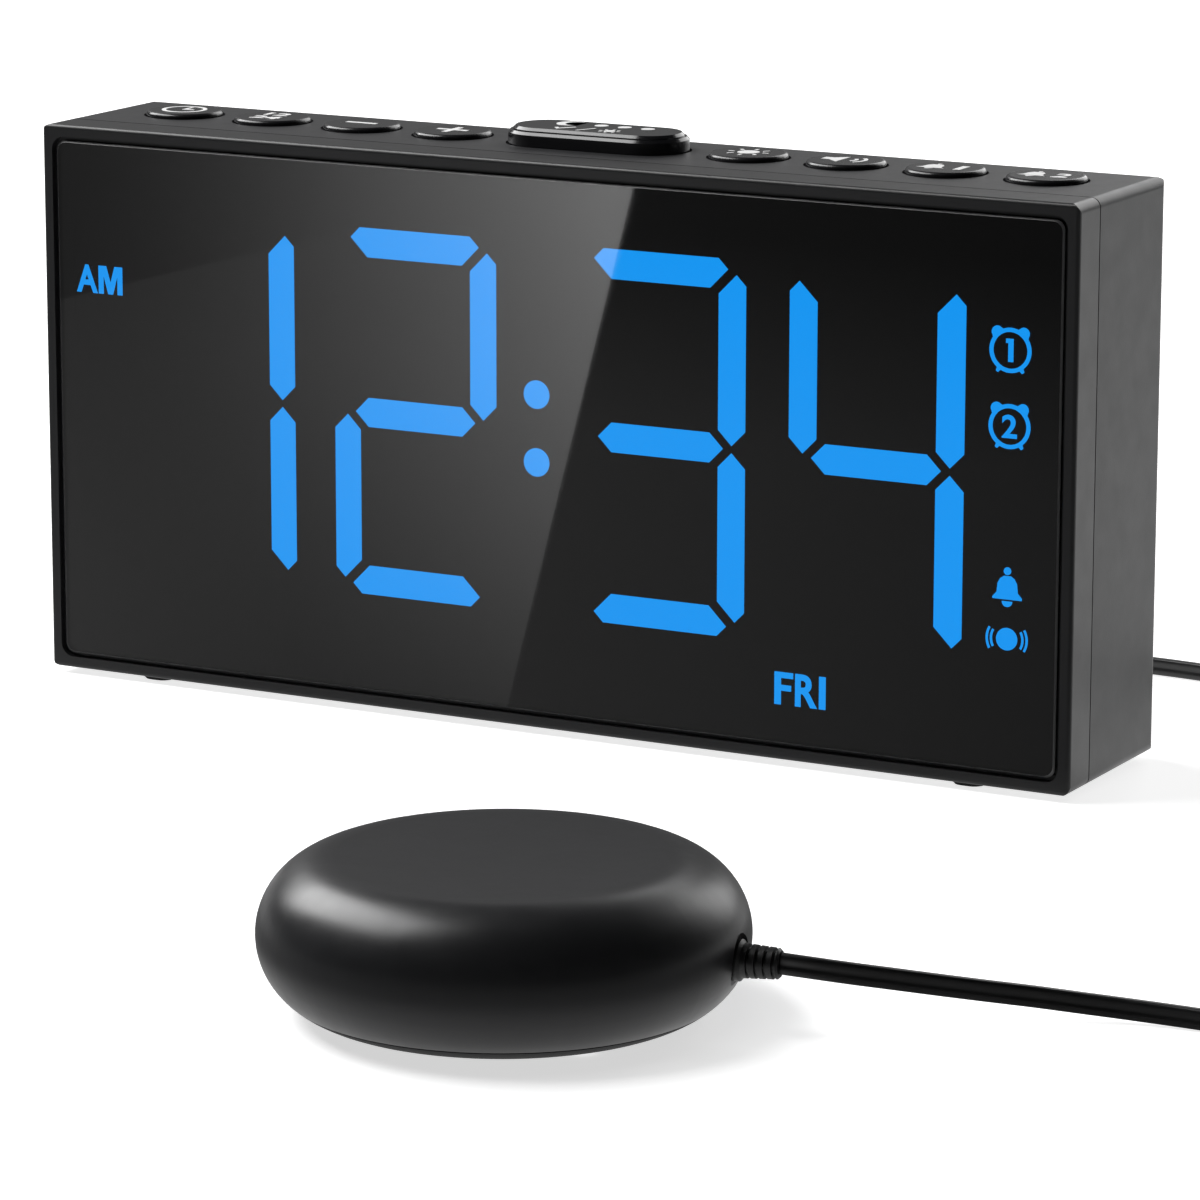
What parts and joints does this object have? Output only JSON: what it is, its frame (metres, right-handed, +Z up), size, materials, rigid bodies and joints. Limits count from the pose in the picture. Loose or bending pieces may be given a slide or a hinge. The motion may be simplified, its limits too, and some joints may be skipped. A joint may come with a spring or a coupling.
{
  "type": "bed shaker alarm clock",
  "caption": "Wide table alarm clock with a lit digit display, round keys and a snooze bar on top, and a round vibrating bed shaker on a coiled cord.",
  "frame": {"origin": "middle of the clock and shaker together at table level, the cord left out", "axes": "+Z up, display facing -Y, +X to the right of someone who reads the display"},
  "size_m": [0.3081, 0.2605, 0.0976],
  "materials": {
    "frame_black": "satin",
    "housing_grey": "satin",
    "lens": "mirror gloss",
    "film": "smoked",
    "block": "matte",
    "lit": "glowing",
    "unlit": "translucent",
    "board": "lacquered",
    "switch": "satin",
    "screw": "zinc",
    "foot": "matte",
    "basket": "satin",
    "cone": "matte",
    "socket": "satin",
    "port": "satin",
    "ribbon": "satin",
    "cell": "satin",
    "contact": "satin",
    "key": "satin",
    "snooze": "gloss",
    "plunger": "satin",
    "shaker": "satin",
    "motor": "satin",
    "end_cap": "satin",
    "weight": "machined",
    "lead": "satin",
    "relief": "satin",
    "cord": "satin",
    "tie": "matte",
    "pin": "polished"
  },
  "bodies": {
    "clock": {"front_frame": "frame_black", "rear_housing": "housing_grey", "display_lens": "lens", "tint_film": "film", "segment_block": "block", "lit_segments": "lit", "dark_segments": "unlit", "lit_indicators": "lit", "display_board": "board", "main_board": "board", "key_board": "board", "key_switches": "switch", "board_screws": "screw", "casing_screws": "screw", "rubber_feet": "foot", "speaker_basket": "basket", "speaker_cone": "cone", "power_socket": "socket", "usb_port": "port", "shaker_socket": "socket", "ribbon_cables": "ribbon", "backup_cell": "cell", "cell_contacts": "contact", "shaker_shell": "shaker", "shaker_base": "shaker", "shaker_screws": "screw", "motor_can": "motor", "motor_end_cap": "end_cap", "motor_clamp": "motor", "motor_leads": "lead", "strain_relief": "relief", "shaker_cord": "cord", "cord_coil": "cord", "socket_cord": "cord", "cord_tie": "tie", "plug_grip": "relief", "plug_pin": "pin"},
    "time_key": {"time_button": "key", "time_plunger": "plunger"},
    "format_key": {"format_button": "key", "format_plunger": "plunger"},
    "minus_key": {"minus_button": "key", "minus_plunger": "plunger"},
    "plus_key": {"plus_button": "key", "plus_plunger": "plunger"},
    "summer_key": {"summer_button": "key", "summer_plunger": "plunger"},
    "volume_key": {"volume_button": "key", "volume_plunger": "plunger"},
    "alarm_one_key": {"alarm_one_button": "key", "alarm_one_plunger": "plunger"},
    "alarm_two_key": {"alarm_two_button": "key", "alarm_two_plunger": "plunger"},
    "snooze_key": {"snooze_bar": "snooze", "snooze_plungers": "plunger"},
    "door": {"battery_door": "housing_grey"},
    "rotor": {"motor_shaft": "motor", "eccentric_weight": "weight"}
  },
  "joints": [
    {"name": "time_press", "type": "slide", "parent": "clock", "child": "time_key", "axis": [0, 0, -1], "range_m": [0, 0.0007], "stiffness_N_per_m": 1500},
    {"name": "format_press", "type": "slide", "parent": "clock", "child": "format_key", "axis": [0, 0, -1], "range_m": [0, 0.0007], "stiffness_N_per_m": 1500},
    {"name": "minus_press", "type": "slide", "parent": "clock", "child": "minus_key", "axis": [0, 0, -1], "range_m": [0, 0.0007], "stiffness_N_per_m": 1500},
    {"name": "plus_press", "type": "slide", "parent": "clock", "child": "plus_key", "axis": [0, 0, -1], "range_m": [0, 0.0007], "stiffness_N_per_m": 1500},
    {"name": "summer_press", "type": "slide", "parent": "clock", "child": "summer_key", "axis": [0, 0, -1], "range_m": [0, 0.0007], "stiffness_N_per_m": 1500},
    {"name": "volume_press", "type": "slide", "parent": "clock", "child": "volume_key", "axis": [0, 0, -1], "range_m": [0, 0.0007], "stiffness_N_per_m": 1500},
    {"name": "alarm_one_press", "type": "slide", "parent": "clock", "child": "alarm_one_key", "axis": [0, 0, -1], "range_m": [0, 0.0007], "stiffness_N_per_m": 1500},
    {"name": "alarm_two_press", "type": "slide", "parent": "clock", "child": "alarm_two_key", "axis": [0, 0, -1], "range_m": [0, 0.0007], "stiffness_N_per_m": 1500},
    {"name": "snooze_press", "type": "slide", "parent": "clock", "child": "snooze_key", "axis": [0, 0, -1], "range_m": [0, 0.0012], "stiffness_N_per_m": 1500},
    {"name": "door_hinge", "type": "hinge", "parent": "clock", "child": "door", "pos_m": [-0.05505, 0.1025, 0.0443], "axis": [-1, 0, 0], "range_deg": [0, 95]},
    {"name": "motor_spin", "type": "hinge", "parent": "clock", "child": "rotor", "pos_m": [0.06595, -0.0692, 0.01075], "axis": [0.9848, 0.1736, 0], "continuous": true}
  ]
}
